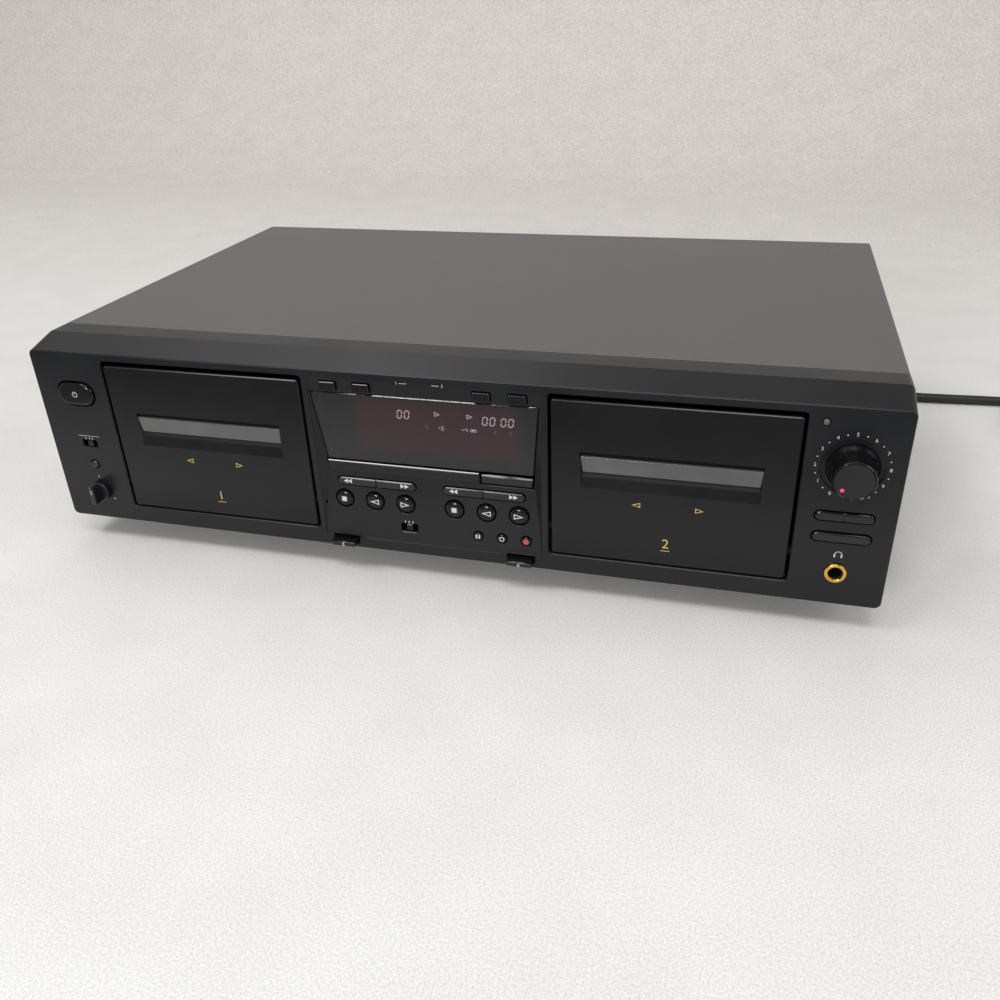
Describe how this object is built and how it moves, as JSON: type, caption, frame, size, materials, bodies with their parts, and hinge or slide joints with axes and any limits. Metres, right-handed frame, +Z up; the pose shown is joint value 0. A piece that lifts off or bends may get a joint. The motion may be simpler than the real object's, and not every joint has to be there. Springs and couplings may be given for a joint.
{
  "type": "double cassette deck",
  "caption": "Full-width double cassette deck with hinged cassette doors, display, transport keys, slide switches, level and pitch knobs, tape transports and a coiled mains lead.",
  "frame": {"origin": "on the table, below the middle of the box round the case, its knobs and its jacks", "axes": "+X to the right along the front, +Y to the back, +Z up"},
  "size_m": [0.6854, 0.3556, 0.117],
  "materials": {
    "panel_plastic": "satin moulded plastic",
    "cover_paint": "fine textured paint on steel sheet",
    "zinc_steel": "zinc plated steel sheet",
    "bright_steel": "turned steel",
    "key_gloss": "gloss black keys",
    "smoke": "smoked clear plastic",
    "pane": "clear plastic pane",
    "board": "circuit board",
    "gold": "gold plated",
    "rubber": "black rubber or cable sheath",
    "ivory": "ivory plastic"
  },
  "bodies": {
    "deck": {"bottom_chassis": "zinc_steel", "feet": "rubber", "top_cover": "cover_paint", "rear_panel": "cover_paint", "front_panel": "panel_plastic", "case_screws": "bright_steel", "display_window": "smoke", "control_board": "board", "main_board": "board", "transport_frames": "zinc_steel", "drive_motors": "bright_steel", "drive_belts": "rubber", "headphone_jack": "gold", "line_jacks": "gold", "strain_relief": "rubber", "power_cord": "rubber", "power_cord_coil": "rubber", "power_plug": "rubber"},
    "door_a": {"door_a": "panel_plastic", "door_window_a": "pane", "cassette_holder_a": "zinc_steel"},
    "door_b": {"door_b": "panel_plastic", "door_window_b": "pane", "cassette_holder_b": "zinc_steel"},
    "power_button": {"power_button": "panel_plastic"},
    "pitch_switch": {"pitch_switch": "key_gloss"},
    "counter_reset_a": {"counter_reset_a": "key_gloss"},
    "counter_memory_a": {"counter_memory_a": "key_gloss"},
    "counter_reset_b": {"counter_reset_b": "key_gloss"},
    "counter_memory_b": {"counter_memory_b": "key_gloss"},
    "stop_a": {"stop_a": "key_gloss"},
    "reverse_a": {"reverse_a": "key_gloss"},
    "play_a": {"play_a": "key_gloss"},
    "stop_b": {"stop_b": "key_gloss"},
    "reverse_b": {"reverse_b": "key_gloss"},
    "play_b": {"play_b": "key_gloss"},
    "pause_button": {"pause_button": "key_gloss"},
    "record_mute_button": {"record_mute_button": "key_gloss"},
    "record_button": {"record_button": "key_gloss"},
    "dubbing_button": {"dubbing_button": "panel_plastic"},
    "synchro_button": {"synchro_button": "key_gloss"},
    "eject_a": {"eject_a": "panel_plastic"},
    "eject_b": {"eject_b": "panel_plastic"},
    "direction_switch": {"direction_switch": "key_gloss"},
    "noise_switch": {"noise_switch": "key_gloss"},
    "search_rocker_a": {"search_rocker_a": "key_gloss"},
    "search_rocker_b": {"search_rocker_b": "key_gloss"},
    "fade_level_rocker": {"fade_level_rocker": "key_gloss"},
    "pitch_knob": {"pitch_knob": "panel_plastic"},
    "level_knob": {"level_knob": "panel_plastic"},
    "reel_a_left": {"reel_a_left": "ivory"},
    "reel_a_right": {"reel_a_right": "ivory"},
    "flywheel_a_left": {"flywheel_a_left": "bright_steel"},
    "flywheel_a_right": {"flywheel_a_right": "bright_steel"},
    "head_carriage_a": {"head_carriage_a": "bright_steel"},
    "reel_b_left": {"reel_b_left": "ivory"},
    "reel_b_right": {"reel_b_right": "ivory"},
    "flywheel_b_left": {"flywheel_b_left": "bright_steel"},
    "flywheel_b_right": {"flywheel_b_right": "bright_steel"},
    "head_carriage_b": {"head_carriage_b": "bright_steel"}
  },
  "joints": [
    {"name": "door_a_hinge", "type": "hinge", "parent": "deck", "child": "door_a", "pos_m": [-0.117, -0.128, 0.0396], "axis": [1, 0, 0], "range_deg": [0, 30]},
    {"name": "door_b_hinge", "type": "hinge", "parent": "deck", "child": "door_b", "pos_m": [0.117, -0.128, 0.0396], "axis": [1, 0, 0], "range_deg": [0, 30]},
    {"name": "power_button_push", "type": "slide", "parent": "deck", "child": "power_button", "axis": [0, 1, 0], "range_m": [0, 0.0025], "stiffness_N_per_m": 300, "springref_m": -0.001},
    {"name": "pitch_switch_push", "type": "slide", "parent": "deck", "child": "pitch_switch", "axis": [0, 1, 0], "range_m": [0, 0.001], "stiffness_N_per_m": 300, "springref_m": -0.001},
    {"name": "counter_reset_a_push", "type": "slide", "parent": "deck", "child": "counter_reset_a", "axis": [0, 1, 0], "range_m": [0, 0.001], "stiffness_N_per_m": 300, "springref_m": -0.001},
    {"name": "counter_memory_a_push", "type": "slide", "parent": "deck", "child": "counter_memory_a", "axis": [0, 1, 0], "range_m": [0, 0.001], "stiffness_N_per_m": 300, "springref_m": -0.001},
    {"name": "counter_reset_b_push", "type": "slide", "parent": "deck", "child": "counter_reset_b", "axis": [0, 1, 0], "range_m": [0, 0.001], "stiffness_N_per_m": 300, "springref_m": -0.001},
    {"name": "counter_memory_b_push", "type": "slide", "parent": "deck", "child": "counter_memory_b", "axis": [0, 1, 0], "range_m": [0, 0.001], "stiffness_N_per_m": 300, "springref_m": -0.001},
    {"name": "stop_a_push", "type": "slide", "parent": "deck", "child": "stop_a", "axis": [0, 1, 0], "range_m": [0, 0.001], "stiffness_N_per_m": 300, "springref_m": -0.001},
    {"name": "reverse_a_push", "type": "slide", "parent": "deck", "child": "reverse_a", "axis": [0, 1, 0], "range_m": [0, 0.001], "stiffness_N_per_m": 300, "springref_m": -0.001},
    {"name": "play_a_push", "type": "slide", "parent": "deck", "child": "play_a", "axis": [0, 1, 0], "range_m": [0, 0.001], "stiffness_N_per_m": 300, "springref_m": -0.001},
    {"name": "stop_b_push", "type": "slide", "parent": "deck", "child": "stop_b", "axis": [0, 1, 0], "range_m": [0, 0.001], "stiffness_N_per_m": 300, "springref_m": -0.001},
    {"name": "reverse_b_push", "type": "slide", "parent": "deck", "child": "reverse_b", "axis": [0, 1, 0], "range_m": [0, 0.001], "stiffness_N_per_m": 300, "springref_m": -0.001},
    {"name": "play_b_push", "type": "slide", "parent": "deck", "child": "play_b", "axis": [0, 1, 0], "range_m": [0, 0.001], "stiffness_N_per_m": 300, "springref_m": -0.001},
    {"name": "pause_button_push", "type": "slide", "parent": "deck", "child": "pause_button", "axis": [0, 1, 0], "range_m": [0, 0.001], "stiffness_N_per_m": 300, "springref_m": -0.001},
    {"name": "record_mute_button_push", "type": "slide", "parent": "deck", "child": "record_mute_button", "axis": [0, 1, 0], "range_m": [0, 0.001], "stiffness_N_per_m": 300, "springref_m": -0.001},
    {"name": "record_button_push", "type": "slide", "parent": "deck", "child": "record_button", "axis": [0, 1, 0], "range_m": [0, 0.001], "stiffness_N_per_m": 300, "springref_m": -0.001},
    {"name": "dubbing_button_push", "type": "slide", "parent": "deck", "child": "dubbing_button", "axis": [0, 1, 0], "range_m": [0, 0.001], "stiffness_N_per_m": 300, "springref_m": -0.001},
    {"name": "synchro_button_push", "type": "slide", "parent": "deck", "child": "synchro_button", "axis": [0, 1, 0], "range_m": [0, 0.001], "stiffness_N_per_m": 300, "springref_m": -0.001},
    {"name": "eject_a_push", "type": "slide", "parent": "deck", "child": "eject_a", "axis": [0, 1, 0], "range_m": [0, 0.003], "stiffness_N_per_m": 300, "springref_m": -0.001},
    {"name": "eject_b_push", "type": "slide", "parent": "deck", "child": "eject_b", "axis": [0, 1, 0], "range_m": [0, 0.003], "stiffness_N_per_m": 300, "springref_m": -0.001},
    {"name": "direction_switch_slide", "type": "slide", "parent": "deck", "child": "direction_switch", "axis": [1, 0, 0], "range_m": [-0.0022, 0.0022]},
    {"name": "noise_switch_slide", "type": "slide", "parent": "deck", "child": "noise_switch", "axis": [1, 0, 0], "range_m": [-0.0022, 0.0022]},
    {"name": "search_rocker_a_rock", "type": "hinge", "parent": "deck", "child": "search_rocker_a", "pos_m": [-0.028, -0.1257, 0.0522], "axis": [0, 0, 1], "range_deg": [-2.5, 2.5], "stiffness_Nm_per_rad": 0.06},
    {"name": "search_rocker_b_rock", "type": "hinge", "parent": "deck", "child": "search_rocker_b", "pos_m": [0.028, -0.1257, 0.0522], "axis": [0, 0, 1], "range_deg": [-2.5, 2.5], "stiffness_Nm_per_rad": 0.06},
    {"name": "fade_level_rock", "type": "hinge", "parent": "deck", "child": "fade_level_rocker", "pos_m": [0.1933, -0.13, 0.0607], "axis": [0, 0, 1], "range_deg": [-2.5, 2.5], "stiffness_Nm_per_rad": 0.06},
    {"name": "pitch_knob_turn", "type": "hinge", "parent": "deck", "child": "pitch_knob", "pos_m": [-0.1918, -0.1315, 0.0325], "axis": [0, 1, 0], "range_deg": [-135, 135]},
    {"name": "level_knob_turn", "type": "hinge", "parent": "deck", "child": "level_knob", "pos_m": [0.1933, -0.1315, 0.085], "axis": [0, 1, 0], "range_deg": [-15, 285]},
    {"name": "reel_a_left_spin", "type": "hinge", "parent": "deck", "child": "reel_a_left", "pos_m": [-0.13825, -0.1115, 0.069], "axis": [0, 1, 0], "continuous": true},
    {"name": "reel_a_right_spin", "type": "hinge", "parent": "deck", "child": "reel_a_right", "pos_m": [-0.09575, -0.1115, 0.069], "axis": [0, 1, 0], "continuous": true},
    {"name": "flywheel_a_left_spin", "type": "hinge", "parent": "deck", "child": "flywheel_a_left", "pos_m": [-0.141, -0.0945, 0.0496], "axis": [0, 1, 0], "continuous": true},
    {"name": "flywheel_a_right_spin", "type": "hinge", "parent": "deck", "child": "flywheel_a_right", "pos_m": [-0.093, -0.0945, 0.0496], "axis": [0, 1, 0], "continuous": true},
    {"name": "head_a_lift", "type": "slide", "parent": "deck", "child": "head_carriage_a", "axis": [0, 0, 1], "range_m": [0, 0.005], "stiffness_N_per_m": 60, "springref_m": -0.005},
    {"name": "reel_b_left_spin", "type": "hinge", "parent": "deck", "child": "reel_b_left", "pos_m": [0.09575, -0.1115, 0.069], "axis": [0, 1, 0], "continuous": true},
    {"name": "reel_b_right_spin", "type": "hinge", "parent": "deck", "child": "reel_b_right", "pos_m": [0.13825, -0.1115, 0.069], "axis": [0, 1, 0], "continuous": true},
    {"name": "flywheel_b_left_spin", "type": "hinge", "parent": "deck", "child": "flywheel_b_left", "pos_m": [0.093, -0.0945, 0.0496], "axis": [0, 1, 0], "continuous": true},
    {"name": "flywheel_b_right_spin", "type": "hinge", "parent": "deck", "child": "flywheel_b_right", "pos_m": [0.141, -0.0945, 0.0496], "axis": [0, 1, 0], "continuous": true},
    {"name": "head_b_lift", "type": "slide", "parent": "deck", "child": "head_carriage_b", "axis": [0, 0, 1], "range_m": [0, 0.005], "stiffness_N_per_m": 60, "springref_m": -0.005}
  ],
  "couplings": [
    {"joint": "flywheel_a_right_spin", "follows": "flywheel_a_left_spin", "ratio": -1},
    {"joint": "flywheel_b_right_spin", "follows": "flywheel_b_left_spin", "ratio": -1}
  ]
}
